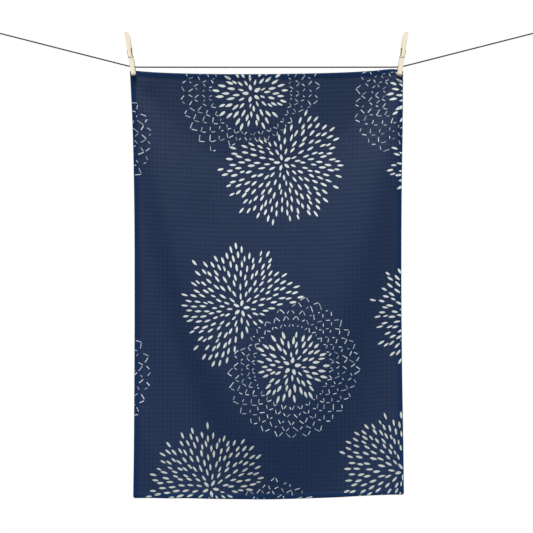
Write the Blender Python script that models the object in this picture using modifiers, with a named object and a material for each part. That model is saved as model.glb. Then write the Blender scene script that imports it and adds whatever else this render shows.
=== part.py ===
# Tea towel hung by its two top corners from a taut line with wooden spring pegs.
# Metres, +Z up. The viewer stands at -Y. The origin is the eye at the line's left end.

import math

import bmesh
import bpy
from mathutils import Vector

# The towel, cut flat
TOWEL_WIDTH = 0.4064
TOWEL_LENGTH = 0.635
HEM_WIDTH = 0.0075
CLOTH_THICKNESS = 0.0016
HEM_THICKNESS = 0.0024
HEM_STEP = 0.0012
CORNER_INSET = 0.0012
GRID_ACROSS = 32
GRID_DOWN = 42

# The line, and where it is held
LINE_DIAMETER = 0.0022
LINE_SLOPE = 0.2545
LINE_SAG = 0.0001
LINE_BEND = 0.003
PEG_FROM_MIDDLE = 0.1990
END_FROM_MIDDLE = 0.415
LINE_TO_CLOTH = 0.0045
LINE_POINTS = 79

# The loop and knot at each end of the line
EYE_LENGTH = 0.013
EYE_WIDTH = 0.0075
EYE_NECK = 0.0012
EYE_POINTS = 22
KNOT_LENGTH = 0.007
KNOT_OVERLAP = 0.0022
KNOT_RADIUS = 0.0027
KNOT_SIDES = 14
KNOT_RINGS = 8

# A peg, measured up from the tips of its jaws
PEG_LENGTH = 0.0652
PEG_WIDTH = 0.0066
LEG_THICKNESS = 0.0066
LEG_END_THICKNESS = 0.0040
TIP_THICKNESS = 0.0060
END_TAPER = 0.0060
TIP_TAPER = 0.0020
LEG_EDGE = 0.0004
SHARP_ANGLE = math.radians(50)
LINE_HEIGHT = 0.0137
GROOVE_HEIGHT = 0.0271
COIL_HEIGHT = 0.0371
PIVOT_GAP = 0.0005
HANDLE_GAP = 0.0030
NOTCH_RADIUS = 0.00155
NOTCH_DROP = 0.0004
NOTCH_HALF_ANGLE = 60
LEAN_LEFT = math.radians(9.8)
LEAN_RIGHT = math.radians(9.1)

# The spring of a peg
WIRE_DIAMETER = 0.0012
COIL_RADIUS = 0.00235
COIL_TURNS = 5
POINTS_PER_TURN = 12
CROSSING_END = 0.0026
WIRE_BEND = 0.0012
BEND_CUT = 1.0 - math.sqrt(0.5)

# Space left between pieces that touch
GAP = 0.0003

# The sides of the hung towel draw in as it drapes.
# drop: below the top corners; left, right: how far each side comes in
SIDES = (
    {"drop": 0.000, "left": 0.0000, "right": 0.0000},
    {"drop": 0.080, "left": 0.0036, "right": 0.0005},
    {"drop": 0.180, "left": 0.0058, "right": 0.0017},
    {"drop": 0.320, "left": 0.0070, "right": 0.0018},
    {"drop": 0.450, "left": 0.0078, "right": 0.0008},
    {"drop": 0.560, "left": 0.0073, "right": -0.0003},
    {"drop": 0.638, "left": 0.0062, "right": -0.0005},
)

# across: 0 at the left corner, 1 at the right one
# top, bottom: how far each edge lies below the straight line through the left corner
EDGES = (
    {"across": 0.00, "top": 0.0000, "bottom": -0.0009},
    {"across": 0.08, "top": 0.0027, "bottom": -0.0014},
    {"across": 0.18, "top": 0.0044, "bottom": -0.0001},
    {"across": 0.30, "top": 0.0054, "bottom": 0.0044},
    {"across": 0.45, "top": 0.0056, "bottom": 0.0055},
    {"across": 0.60, "top": 0.0050, "bottom": 0.0044},
    {"across": 0.75, "top": 0.0036, "bottom": 0.0026},
    {"across": 0.88, "top": 0.0011, "bottom": -0.0015},
    {"across": 0.96, "top": -0.0018, "bottom": -0.0041},
    {"across": 1.00, "top": 0.0000, "bottom": -0.0048},
)

# The folds hang in bows from corner to corner, one below the other.
# centre: across from the middle; reach: below the corners, at the centre
# span: half the bow's width at the corners' height; forward: toward the viewer, at the centre
# early: over 1 where the cloth comes forward late after the bow above
BOWS = (
    {"centre": -0.005, "reach": 0.145, "span": 0.198, "forward": -0.0083, "early": 1.35},
    {"centre": 0.004, "reach": 0.509, "span": 0.203, "forward": 0.0020, "early": 0.8},
    {"centre": 0.023, "reach": 0.692, "span": 0.258, "forward": -0.0108, "early": 1.0},
    {"centre": 0.077, "reach": 0.960, "span": 0.400, "forward": 0.0219, "early": 1.2},
)
CORNER_FADE = 0.036

# Softer creases on top of the bows, from (x, drop) to (x, drop): a trough and a ridge
CREASES = (
    {"start": (-0.099, 0.195), "end": (-0.068, 0.400), "width": 0.028, "forward": -0.0019},
    {"start": (0.170, 0.111), "end": (0.097, 0.385), "width": 0.032, "forward": 0.0019},
)
CREASE_FADE = 0.2


def clear_scene():
    for old in list(bpy.data.objects):
        bpy.data.objects.remove(old, do_unlink=True)


def make_collection(name):
    collection = bpy.data.collections.new(name)
    bpy.context.scene.collection.children.link(collection)
    return collection


def make_material(name, colour, roughness, metallic=0.0):
    material = bpy.data.materials.new(name)
    material.use_nodes = True
    shader = material.node_tree.nodes["Principled BSDF"]
    shader.inputs["Base Color"].default_value = (*colour, 1.0)
    shader.inputs["Roughness"].default_value = roughness
    shader.inputs["Metallic"].default_value = metallic
    material.diffuse_color = (*colour, 1.0)
    return material


def place(name, data, material, parent):
    piece = bpy.data.objects.new(name, data)
    parts.objects.link(piece)
    data.materials.append(material)
    piece.parent = parent
    return piece


def smoothstep(t):
    t = min(max(t, 0.0), 1.0)
    return t * t * (3.0 - 2.0 * t)


def read_row(rows, key, at):
    """Value of every column at a place along a table, on a smooth curve through its rows."""
    last = len(rows) - 1
    i = 0
    while i < last - 1 and at > rows[i + 1][key]:
        i += 1
    low, high = rows[i], rows[i + 1]
    before, after = rows[max(i - 1, 0)], rows[min(i + 2, last)]
    width = high[key] - low[key]
    t = min(max((at - low[key]) / width, 0.0), 1.0)
    values = {}
    for column in low:
        slope_low = (high[column] - before[column]) / (high[key] - before[key])
        slope_high = (after[column] - low[column]) / (after[key] - low[key])
        values[column] = (
            low[column] * (1 + 2 * t) * (1 - t) ** 2
            + high[column] * t * t * (3 - 2 * t)
            + width * slope_low * t * (1 - t) ** 2
            + width * slope_high * t * t * (t - 1)
        )
    return values


# The towel

def bow_forward(x, drop):
    """How far the bows bring the cloth toward the viewer at a place on it."""
    upper_drop, upper_forward = 0.0, 0.0
    for index, bow in enumerate(BOWS):
        share = max(1.0 - ((x - bow["centre"]) / bow["span"]) ** 2, 0.0)
        reach, forward = bow["reach"] * share, bow["forward"] * share
        if drop <= reach:
            t = (drop - upper_drop) / max(reach - upper_drop, 1e-6)
            ease = 1.0 - (1.0 - t) ** bow["early"] if index == 0 else smoothstep(t ** bow["early"])
            return upper_forward + (forward - upper_forward) * ease
        upper_drop, upper_forward = reach, forward
    return upper_forward


def crease_forward(x, drop):
    """The creases, each fading over a share of its length at both ends."""
    total = 0.0
    here = Vector((x, drop))
    for crease in CREASES:
        start, end = Vector(crease["start"]), Vector(crease["end"])
        along = (here - start).dot(end - start) / (end - start).length_squared
        beside = (here - start.lerp(end, along)).length
        from_start = smoothstep((along + CREASE_FADE) / (2 * CREASE_FADE))
        from_end = smoothstep((1.0 + CREASE_FADE - along) / (2 * CREASE_FADE))
        ends = from_start * from_end
        total += crease["forward"] * ends * math.exp(-((beside / crease["width"]) ** 2))
    return total


def cloth_forward(x, drop):
    """All the folds, calmed to nothing where the pegs grip the corners."""
    calm = 1.0
    for side in (-1, 1):
        away = math.hypot(x - side * PEG_FROM_MIDDLE, drop)
        calm *= 1.0 - math.exp(-((away / CORNER_FADE) ** 4))
    return calm * (bow_forward(x, drop) + crease_forward(x, drop))


def hung_point(across, down):
    """Where a place on the flat towel hangs; across and down run from 0 to 1."""
    edge = read_row(EDGES, "across", across)
    drop = edge["top"] + (TOWEL_LENGTH + edge["bottom"] - edge["top"]) * down
    side = read_row(SIDES, "drop", drop)
    left = -TOWEL_WIDTH / 2 + side["left"]
    right = TOWEL_WIDTH / 2 - side["right"]
    x = left + (right - left) * across
    return Vector((x, -cloth_forward(x, max(drop, 0.0)), -LINE_TO_CLOTH - drop))


def grid_step(index, count, length):
    """Even steps between the hems; each hem takes one step and its inner edge another."""
    from_edge = min(index, count - index)
    if from_edge == 0:
        place_in = 0.0
    elif from_edge == 1:
        place_in = HEM_WIDTH
    else:
        inner = HEM_WIDTH + HEM_STEP
        place_in = inner + (length - 2 * inner) * (from_edge - 2) / (count - 4)
    return place_in / length if index == from_edge else 1.0 - place_in / length


def make_towel(material, parent):
    bm = bmesh.new()
    bmesh.ops.create_grid(bm, x_segments=GRID_ACROSS, y_segments=GRID_DOWN, size=0.5)
    mesh = bpy.data.meshes.new("towel")
    hem = []
    for vertex in bm.verts:
        i = round((vertex.co.x + 0.5) * GRID_ACROSS)
        j = round((0.5 - vertex.co.y) * GRID_DOWN)
        if min(i, j, GRID_ACROSS - i, GRID_DOWN - j) <= 1:
            hem.append(vertex.index)
        vertex.co = hung_point(
            grid_step(i, GRID_ACROSS, TOWEL_WIDTH), grid_step(j, GRID_DOWN, TOWEL_LENGTH)
        )
        if i in (0, GRID_ACROSS) and j in (0, GRID_DOWN):
            vertex.co.x += CORNER_INSET if i == 0 else -CORNER_INSET
            vertex.co.z += CORNER_INSET if j == GRID_DOWN else -CORNER_INSET
    bmesh.ops.recalc_face_normals(bm, faces=bm.faces)
    bm.to_mesh(mesh)
    bm.free()
    towel = place("towel", mesh, material, parent)
    group = towel.vertex_groups.new(name="hem")
    group.add(hem, 1.0, "REPLACE")
    solid = towel.modifiers.new("cloth", "SOLIDIFY")
    solid.thickness = HEM_THICKNESS
    solid.offset = 0.0
    solid.vertex_group = "hem"
    solid.thickness_vertex_group = CLOTH_THICKNESS / HEM_THICKNESS
    mesh.shade_smooth()
    return towel


# The line and its ends

def line_height(x):
    """Height of the line: nearly level between the pegs, then straight up to each end."""
    beyond = (abs(x) - PEG_FROM_MIDDLE) / LINE_BEND
    rise = LINE_SLOPE * LINE_BEND * (math.log1p(math.exp(-abs(beyond))) + max(beyond, 0.0))
    sag = LINE_SAG * max(1.0 - (x / PEG_FROM_MIDDLE) ** 2, 0.0)
    return rise - sag


def line_point(x):
    return Vector((x, 0.0, line_height(x)))


def make_tube(name, points, diameter, material, parent):
    curve = bpy.data.curves.new(name, "CURVE")
    curve.dimensions = "3D"
    curve.bevel_depth = diameter / 2
    curve.bevel_resolution = 2
    curve.use_fill_caps = True
    spline = curve.splines.new("POLY")
    spline.points.add(len(points) - 1)
    for target, point in zip(spline.points, points):
        target.co = (*point, 1.0)
    return place(name, curve, material, parent)


def end_frame(side):
    """Centre of the eye at one end, and the direction from there back along the line."""
    start = line_point(side * END_FROM_MIDDLE)
    inward = (line_point(side * (END_FROM_MIDDLE - EYE_LENGTH)) - start).normalized()
    return start, inward


def make_line(material, parent):
    """The line runs from knot to knot, with points close together where it bends."""
    back_from_eye = EYE_LENGTH / 2 + KNOT_LENGTH - KNOT_OVERLAP + GAP
    reach = END_FROM_MIDDLE - back_from_eye * abs(end_frame(1)[1].x)
    points = []
    for index in range(LINE_POINTS):
        t = 2.0 * index / (LINE_POINTS - 1) - 1.0
        points.append(line_point(t * reach))
    return make_tube("line", points, LINE_DIAMETER, material, parent)


def as_mesh(piece):
    """Turn a curve object into a welded mesh object with the same name and place."""
    graph = bpy.context.evaluated_depsgraph_get()
    mesh = bpy.data.meshes.new_from_object(piece.evaluated_get(graph))
    bm = bmesh.new()
    bm.from_mesh(mesh)
    bmesh.ops.remove_doubles(bm, verts=bm.verts, dist=0.00001)
    bmesh.ops.recalc_face_normals(bm, faces=bm.faces)
    bm.to_mesh(mesh)
    bm.free()
    name, parent, matrix = piece.name, piece.parent, piece.matrix_world.copy()
    material = piece.data.materials[0]
    bpy.data.objects.remove(piece, do_unlink=True)
    mesh.materials.clear()
    solid = place(name, mesh, material, parent)
    solid.matrix_world = matrix
    return solid


def make_line_end(name, side, material, parent):
    """A teardrop eye whose two strands run side by side into one round knot."""
    centre, inward = end_frame(side)
    up = Vector((-inward.z, 0.0, inward.x))
    points = []
    for index in range(EYE_POINTS + 1):
        turn = 2.0 * math.pi * index / EYE_POINTS - math.pi
        along = -math.cos(turn) * EYE_LENGTH / 2
        wide = math.sin(turn) * math.cos(turn / 2) ** 2 * EYE_WIDTH
        wide += math.copysign(EYE_NECK, turn) * math.sin(turn / 2) ** 2
        points.append(centre + inward * along + up * wide)
    eye = as_mesh(make_tube(name, points, LINE_DIAMETER, material, parent))

    knot_centre = centre + inward * (EYE_LENGTH / 2 + KNOT_LENGTH / 2 - KNOT_OVERLAP)
    bm = bmesh.new()
    bmesh.ops.create_uvsphere(bm, u_segments=KNOT_SIDES, v_segments=KNOT_RINGS, radius=1.0)
    bmesh.ops.scale(bm, vec=(KNOT_RADIUS, KNOT_RADIUS, KNOT_LENGTH / 2), verts=bm.verts)
    mesh = bpy.data.meshes.new(name + "_knot")
    bm.to_mesh(mesh)
    bm.free()
    knot = bpy.data.objects.new(name + "_knot", mesh)
    joiners.objects.link(knot)
    knot.parent = parent
    knot.location = knot_centre
    knot.rotation_euler = inward.to_track_quat("Z", "Y").to_euler()
    knot.hide_render = True
    knot.display_type = "WIRE"
    join = eye.modifiers.new("knot", "BOOLEAN")
    join.operation = "UNION"
    join.solver = "EXACT"
    join.object = knot
    return eye


# A peg: its own x runs across it, y away from the viewer, z up from its coil

def jaw_opening():
    """How far each leg turns about the coil to leave room for the hem between the jaws."""
    grip = COIL_HEIGHT - LINE_HEIGHT + LINE_TO_CLOTH
    return math.asin((HEM_THICKNESS / 2 + GAP - PIVOT_GAP / 2) / grip)


def arc(centre_y, centre_z, radius, from_degrees, to_degrees, steps):
    points = []
    for step in range(steps + 1):
        angle = math.radians(from_degrees + (to_degrees - from_degrees) * step / steps)
        points.append((centre_y + radius * math.cos(angle), centre_z + radius * math.sin(angle)))
    return points


def leg_outline():
    """Side view of the back leg, from the coil's axis: (away from the other leg, up)."""
    inner = PIVOT_GAP / 2
    outer = inner + LEG_THICKNESS
    seat = COIL_RADIUS + WIRE_DIAMETER / 2 + GAP
    seat_start = math.degrees(math.asin(-math.sqrt(seat ** 2 - inner ** 2) / seat))
    tip = -COIL_HEIGHT
    top = PEG_LENGTH - COIL_HEIGHT
    line = LINE_HEIGHT - COIL_HEIGHT - NOTCH_DROP
    groove = GROOVE_HEIGHT - COIL_HEIGHT
    points = [(inner, tip), (inner, line - NOTCH_RADIUS)]
    points += arc(inner, line, NOTCH_RADIUS, -NOTCH_HALF_ANGLE, NOTCH_HALF_ANGLE, 4)
    points += [(inner, line + NOTCH_RADIUS)]
    points += arc(0.0, 0.0, seat, seat_start, -seat_start, 8)
    points += [(HANDLE_GAP, top), (HANDLE_GAP + LEG_END_THICKNESS, top)]
    points += [(outer, top - END_TAPER)]
    points += arc(outer, groove, WIRE_DIAMETER / 2 + GAP, 90, 270, 6)
    points += [(outer, tip + TIP_TAPER), (inner + TIP_THICKNESS, tip)]
    return points


def make_leg(name, side, material, parent):
    """side is -1 for the front leg and 1 for the back one."""
    curve = bpy.data.curves.new(name, "CURVE")
    curve.dimensions = "2D"
    curve.fill_mode = "BOTH"
    curve.extrude = PEG_WIDTH / 2
    outline = leg_outline()
    spline = curve.splines.new("POLY")
    spline.points.add(len(outline) - 1)
    spline.use_cyclic_u = True
    for target, (away, up) in zip(spline.points, outline):
        target.co = (side * away, up, 0.0, 1.0)
    leg = as_mesh(place(name, curve, material, None))
    leg.parent = parent
    # the outline is drawn flat, so it is stood up with its own x along the peg's y
    leg.rotation_mode = "XYZ"
    leg.rotation_euler = (math.pi / 2, 0.0, math.pi / 2)
    bevel = leg.modifiers.new("soft edges", "BEVEL")
    bevel.width = LEG_EDGE
    bevel.segments = 1
    bevel.limit_method = "ANGLE"
    bevel.angle_limit = SHARP_ANGLE
    return leg


def spring_points(hand):
    """The wire: across the back leg, up its side, round the coil, down and across the front.
    hand is the side of the peg that the back arm stands on."""
    wire = WIRE_DIAMETER / 2
    side_x = hand * (PEG_WIDTH / 2 + GAP + wire)
    turned = (COIL_HEIGHT - GROOVE_HEIGHT) * math.sin(jaw_opening())
    groove_y = PIVOT_GAP / 2 + LEG_THICKNESS + turned
    groove_z = GROOVE_HEIGHT - COIL_HEIGHT
    distance = math.hypot(groove_y, groove_z)
    leave = math.atan2(groove_z, -groove_y) - math.acos(COIL_RADIUS / distance)
    leave %= 2.0 * math.pi
    enter = math.pi - leave
    total = leave - enter + 2.0 * math.pi * COIL_TURNS
    steps = round(total / (2.0 * math.pi) * POINTS_PER_TURN)
    coil = []
    for step in range(steps + 1):
        t = step / steps
        angle = enter + total * t
        x = side_x * (1.0 - 2.0 * t)
        coil.append(Vector((x, COIL_RADIUS * math.cos(angle), COIL_RADIUS * math.sin(angle))))

    def arm(side):
        """From the middle of the crossing to the coil's side, round one bend."""
        corner = Vector((side * side_x, side * groove_y, groove_z))
        tangent = coil[0] if side > 0 else coil[-1]
        up = (tangent - corner).normalized()
        inward = Vector((-side * hand, 0.0, 0.0))
        bend = [
            corner + inward * WIRE_BEND,
            corner + (inward + up) * WIRE_BEND * BEND_CUT,
            corner + up * WIRE_BEND,
        ]
        return [corner + inward * (abs(side_x) + CROSSING_END)] + bend

    back, front = arm(1), arm(-1)
    return back + coil + front[::-1]


def make_peg(name, side, lean, wood, steel, parent):
    """A peg on the line at the left (-1) or right (1), its top leaning outward."""
    axis = bpy.data.objects.new(name, None)
    parts.objects.link(axis)
    axis.parent = parent
    up = Vector((side * math.sin(lean), 0.0, math.cos(lean)))
    axis.location = line_point(side * PEG_FROM_MIDDLE) + up * (COIL_HEIGHT - LINE_HEIGHT)
    axis.rotation_euler = (0.0, side * lean, 0.0)
    for leg_name, leg_side in (("front", -1), ("back", 1)):
        hinge = bpy.data.objects.new(f"{name}_{leg_name}_turn", None)
        parts.objects.link(hinge)
        hinge.parent = axis
        hinge.rotation_euler = (leg_side * jaw_opening(), 0.0, 0.0)
        make_leg(f"{name}_{leg_name}", leg_side, wood, hinge)
    make_tube(f"{name}_spring", spring_points(side), WIRE_DIAMETER, steel, axis)


clear_scene()
parts = make_collection("tea_towel")
joiners = make_collection("joining_shapes")

cotton = make_material("waffle cotton", (0.028, 0.042, 0.085), 0.95)
wood = make_material("pale wood", (0.82, 0.70, 0.48), 0.6)
steel = make_material("spring wire", (0.55, 0.54, 0.52), 0.35, 1.0)
cord = make_material("dark line", (0.05, 0.05, 0.055), 0.8)

# everything is laid out from the middle of the line, then shifted to the left eye
middle = bpy.data.objects.new("middle_of_line", None)
parts.objects.link(middle)
middle.location = (END_FROM_MIDDLE, 0.0, -line_height(END_FROM_MIDDLE))

make_towel(cotton, middle)
make_line(cord, middle)
make_line_end("line_end_left", -1, cord, middle)
make_line_end("line_end_right", 1, cord, middle)
make_peg("peg_left", -1, LEAN_LEFT, wood, steel, middle)
make_peg("peg_right", 1, LEAN_RIGHT, wood, steel, middle)
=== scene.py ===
# Looks of a tea towel pegged on a clothesline.
# Metres, +Z up; the viewer stands at -Y and the left end of the line is the origin.
import math
import random

import bmesh
import bpy
import numpy as np
from mathutils import Matrix, Vector


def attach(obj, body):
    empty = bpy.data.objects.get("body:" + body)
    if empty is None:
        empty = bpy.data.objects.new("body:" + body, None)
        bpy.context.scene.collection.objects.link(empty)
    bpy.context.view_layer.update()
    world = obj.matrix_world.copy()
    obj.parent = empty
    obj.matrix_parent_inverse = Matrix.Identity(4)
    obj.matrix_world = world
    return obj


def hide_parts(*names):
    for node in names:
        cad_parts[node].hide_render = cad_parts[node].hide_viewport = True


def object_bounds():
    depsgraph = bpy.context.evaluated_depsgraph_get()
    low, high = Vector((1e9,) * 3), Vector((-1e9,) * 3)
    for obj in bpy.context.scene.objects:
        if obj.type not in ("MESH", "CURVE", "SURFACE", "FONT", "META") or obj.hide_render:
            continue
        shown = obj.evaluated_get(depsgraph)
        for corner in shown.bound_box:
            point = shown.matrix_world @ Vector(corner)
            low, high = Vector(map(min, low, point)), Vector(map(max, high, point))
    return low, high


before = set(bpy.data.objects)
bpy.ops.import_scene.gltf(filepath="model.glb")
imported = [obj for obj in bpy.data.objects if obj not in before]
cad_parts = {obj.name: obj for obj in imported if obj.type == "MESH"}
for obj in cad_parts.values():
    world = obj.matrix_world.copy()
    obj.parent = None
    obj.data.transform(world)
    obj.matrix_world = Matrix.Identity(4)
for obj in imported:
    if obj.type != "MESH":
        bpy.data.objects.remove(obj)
cadLow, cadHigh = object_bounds()
print("frame loaded:", len(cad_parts), "solids")


# The clothesline's route, measured from the middle of the line at the height of the pegs

line = {
    "endFromMiddle": 0.415,  # centre of the loop at each end
    "pegFromMiddle": 0.1990,
    "slope": 0.2545,  # rise of the outer stretches
    "sag": 0.0001,  # dip of the stretch over the towel
    "bend": 0.003,  # softness of the turn at a peg
    "diameter": 0.0022,
    "routePoints": 79,
    "strands": 3,
    "twistLength": 0.0078,  # one full turn of the strands
    "step": 0.0006,  # between points of a strand
    "colour": (0.013, 0.013, 0.015),
    "lighter": 2.2,
    "roughness": 0.75,
    "specular": 0.3,
    "fibres": 2600.0,
    "fibreBump": (0.0001, 0.6),
}


def lineHeight(x):
    beyond = (abs(x) - line["pegFromMiddle"]) / line["bend"]
    rise = line["slope"] * line["bend"] * (math.log1p(math.exp(-abs(beyond))) + max(beyond, 0.0))
    sag = line["sag"] * max(1.0 - (x / line["pegFromMiddle"]) ** 2, 0.0)
    return rise - sag


middle = Vector((line["endFromMiddle"], 0.0, -lineHeight(line["endFromMiddle"])))


def linePoint(x):
    return middle + Vector((x, 0.0, lineHeight(x)))


# The camera comes first, so that the view is settled before anything hangs in it

shot = {
    "imageSide": 533,  # pixels
    "metresPerPixel": 0.0014875,  # at the towel
    "distance": 1.6,
    "belowLine": 0.2965,  # the lens under the line's middle
    "sensor": 36.0,
}


def addObject(name, data):
    added = bpy.data.objects.new(name, data)
    bpy.context.scene.collection.objects.link(added)
    return added


def makeCamera():
    camera = addObject("camera", bpy.data.cameras.new("camera"))
    camera.data.sensor_width = shot["sensor"]
    viewWidth = shot["imageSide"] * shot["metresPerPixel"]
    camera.data.lens = shot["sensor"] * shot["distance"] / viewWidth
    camera.location = middle + Vector((0.0, -shot["distance"], -shot["belowLine"]))
    camera.rotation_euler = (math.pi / 2, 0.0, 0.0)
    bpy.context.scene.camera = camera


makeCamera()
print("camera placed")


# Node helpers: a Wire is a number inside a material, and sums on it add Math nodes

def plug(value, socket):
    if isinstance(value, Wire):
        value.tree.links.new(value.socket, socket)
    else:
        socket.default_value = value


class Wire:
    def __init__(self, tree, socket):
        self.tree = tree
        self.socket = socket

    def math(self, operation, *others):
        return mathNode(self.tree, operation, self, *others)

    def __add__(self, other):
        return self.math("ADD", other)

    def __sub__(self, other):
        return self.math("SUBTRACT", other)

    def __mul__(self, other):
        return self.math("MULTIPLY", other)

    def __truediv__(self, other):
        return self.math("DIVIDE", other)

    def __rsub__(self, other):
        return mathNode(self.tree, "SUBTRACT", other, self)

    __radd__ = __add__
    __rmul__ = __mul__


def mathNode(tree, operation, *values):
    node = tree.nodes.new("ShaderNodeMath")
    node.operation = operation
    for value, socket in zip(values, node.inputs):
        plug(value, socket)
    return Wire(tree, node.outputs[0])


def lengthOf(x, y):
    return (x * x + y * y).math("SQRT")


def splitXyz(vector):
    node = vector.tree.nodes.new("ShaderNodeSeparateXYZ")
    plug(vector, node.inputs[0])
    return [Wire(vector.tree, socket) for socket in node.outputs]


def chances(*place):
    # four steady random numbers, each from 0 to 1, for a place in a pattern
    tree = next(value.tree for value in place if isinstance(value, Wire))
    joined = tree.nodes.new("ShaderNodeCombineXYZ")
    for value, socket in zip(place, joined.inputs):
        plug(value, socket)
    node = tree.nodes.new("ShaderNodeTexWhiteNoise")
    node.noise_dimensions = "3D"
    plug(Wire(tree, joined.outputs[0]), node.inputs["Vector"])
    return splitXyz(Wire(tree, node.outputs["Color"])) + [Wire(tree, node.outputs["Value"])]


def softStep(value, low, high):
    node = value.tree.nodes.new("ShaderNodeMapRange")
    node.interpolation_type = "SMOOTHSTEP"
    for name, setting in (("Value", value), ("From Min", low), ("From Max", high)):
        plug(setting, node.inputs[name])
    return Wire(value.tree, node.outputs["Result"])


def mixNode(kind, factor, a, b):
    # kind: RGBA or VECTOR; a and b: what shows at factor 0 and at factor 1
    node = factor.tree.nodes.new("ShaderNodeMix")
    node.data_type = kind
    sockets = [s for s in node.inputs if s.enabled]
    for value, socket in zip((factor, a, b), sockets):
        if kind == "RGBA" and isinstance(value, tuple):
            value = (*value, 1.0)
        plug(value, socket)
    return Wire(factor.tree, next(s for s in node.outputs if s.enabled))


def noiseNode(vector, scale, detail):
    node = vector.tree.nodes.new("ShaderNodeTexNoise")
    for name, setting in (("Vector", vector), ("Scale", scale), ("Detail", detail)):
        plug(setting, node.inputs[name])
    return Wire(vector.tree, node.outputs[0])


def vectorNode(operation, output, vector, other=None):
    node = vector.tree.nodes.new("ShaderNodeVectorMath")
    node.operation = operation
    plug(vector, node.inputs[0])
    if other:
        node.inputs[1].default_value = other
    return Wire(vector.tree, node.outputs[output])


def scaledNoise(vector, factors, detail):
    return noiseNode(vectorNode("MULTIPLY", "Vector", vector, factors), 1.0, detail)


def bumpNode(height, distance, strength):
    node = height.tree.nodes.new("ShaderNodeBump")
    for name, setting in (("Distance", distance), ("Strength", strength), ("Height", height)):
        plug(setting, node.inputs[name])
    return Wire(height.tree, node.outputs["Normal"])


def objectPlace(tree):
    return Wire(tree, tree.nodes.new("ShaderNodeTexCoord").outputs["Object"])


def newMaterial(name, settings):
    # settings are the shader's own sockets, the same all over the surface
    material = bpy.data.materials.new(name)
    material.use_nodes = True
    tree = material.node_tree
    shader = tree.nodes["Principled BSDF"]
    for socketName, value in settings.items():
        shader.inputs[socketName].default_value = value
    return material, tree, shader


def tinted(colour, factor):
    return tuple(factor * c for c in colour)


def newGroup(name, inputNames, outputNames):
    tree = bpy.data.node_groups.new(name, "ShaderNodeTree")
    for names, way in ((inputNames, "INPUT"), (outputNames, "OUTPUT")):
        for socketName in names:
            tree.interface.new_socket(socketName, in_out=way, socket_type="NodeSocketFloat")
    source = tree.nodes.new("NodeGroupInput")
    sink = tree.nodes.new("NodeGroupOutput")
    return tree, [Wire(tree, source.outputs[n]) for n in inputNames], sink


def useGroup(group, *values):
    tree = values[0].tree
    node = tree.nodes.new("ShaderNodeGroup")
    node.node_tree = group
    for value, socket in zip(values, node.inputs):
        plug(value, socket)
    return [Wire(tree, socket) for socket in node.outputs]


# Helpers for tables and objects

def table(columns, rows):
    return [dict(zip(columns.split(), row)) for row in rows]


def addPiece(name, data, material):
    piece = addObject(name, data)
    data.materials.append(material)
    return piece


tubeSharp = math.radians(60)  # only the end caps of a tube have edges sharper than this


def tubes(name, routes, radius, material, roundness=2):
    # round tubes along lists of points, as one mesh with closed ends
    curve = bpy.data.curves.new(name, "CURVE")
    curve.dimensions = "3D"
    curve.bevel_depth = radius
    curve.bevel_resolution = roundness
    curve.use_fill_caps = True
    for route in routes:
        spline = curve.splines.new("POLY")
        spline.points.add(len(route) - 1)
        spline.points.foreach_set("co", [c for point in route for c in (*point, 1.0)])
    drawn = addObject(name + "_drawn", curve)
    graph = bpy.context.evaluated_depsgraph_get()
    mesh = bpy.data.meshes.new_from_object(drawn.evaluated_get(graph))
    bpy.data.objects.remove(drawn, do_unlink=True)
    weld = bmesh.new()
    weld.from_mesh(mesh)
    bmesh.ops.remove_doubles(weld, verts=weld.verts, dist=radius / 100)
    weld.to_mesh(mesh)
    weld.free()
    mesh.materials.clear()
    mesh.shade_smooth()
    mesh.set_sharp_from_angle(angle=tubeSharp)
    return addPiece(name, mesh, material)


# The line and its end loops, laid up from three strands

def makeCordMaterial():
    settings = {"Roughness": line["roughness"], "Specular IOR Level": line["specular"]}
    material, tree, shader = newMaterial("dark twisted cord", settings)
    fibres = noiseNode(objectPlace(tree), line["fibres"], 3.0)
    lighter = tinted(line["colour"], line["lighter"])
    plug(mixNode("RGBA", fibres, line["colour"], lighter), shader.inputs["Base Color"])
    plug(bumpNode(fibres, *line["fibreBump"]), shader.inputs["Normal"])
    return material


def strandRoutes(route, across):
    # three strands twisted round a route; across holds one direction square to it for each point
    radius = line["diameter"] / 2
    reach = radius / (1.0 + math.sin(math.pi / line["strands"]))
    strands = [[] for _ in range(line["strands"])]
    run = 0.0
    for index, point in enumerate(route):
        before, after = route[max(index - 1, 0)], route[min(index + 1, len(route) - 1)]
        ahead = (after - before).normalized()
        run += (point - before).length
        second = ahead.cross(across[index])
        for number, strand in enumerate(strands):
            angle = math.tau * (run / line["twistLength"] + number / line["strands"])
            strand.append(point + reach * (math.cos(angle) * across[index] + math.sin(angle) * second))
    return strands, radius - reach


def makeLine(material):
    towardLoop = endFrame(1)[1]
    reach = line["endFromMiddle"] - knotRun() * abs(towardLoop.x)
    steps = round(2.0 * reach / line["step"])
    fine = [linePoint(reach * (2.0 * step / steps - 1.0)) for step in range(steps + 1)]
    side = Vector((0.0, 1.0, 0.0))
    strands, strandRadius = strandRoutes(fine, [side] * len(fine))
    piece = tubes("clothesline", strands, strandRadius, material)
    last = line["routePoints"] - 1
    route = [linePoint(reach * (2.0 * index / last - 1.0)) for index in range(last + 1)]
    return piece, route


loop = {
    "length": 0.013,
    "width": 0.0075,
    "neck": 0.0012,  # from the middle of the loop to each of its cords, at the knot
    "knotLength": 0.007,
    "knotOverlap": 0.0022,  # how far the loop's cords run into the knot
    "gap": 0.0003,
    "knotWraps": 3.0,
    "wrapRadius": 0.00175,  # to the middle of the cord
    "wrapSteps": 96,
    "tail": 0.007,
    "tailSteps": 13,
    "tailOff": (0.0006, 0.0026),  # up from the line at its start, and how much more at its end
    "tailFront": 0.0012,
    "neckPast": 0.001,  # the cord inside the knot comes out this far
    "neckSteps": 9,
    "points": 64,
}


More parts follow.
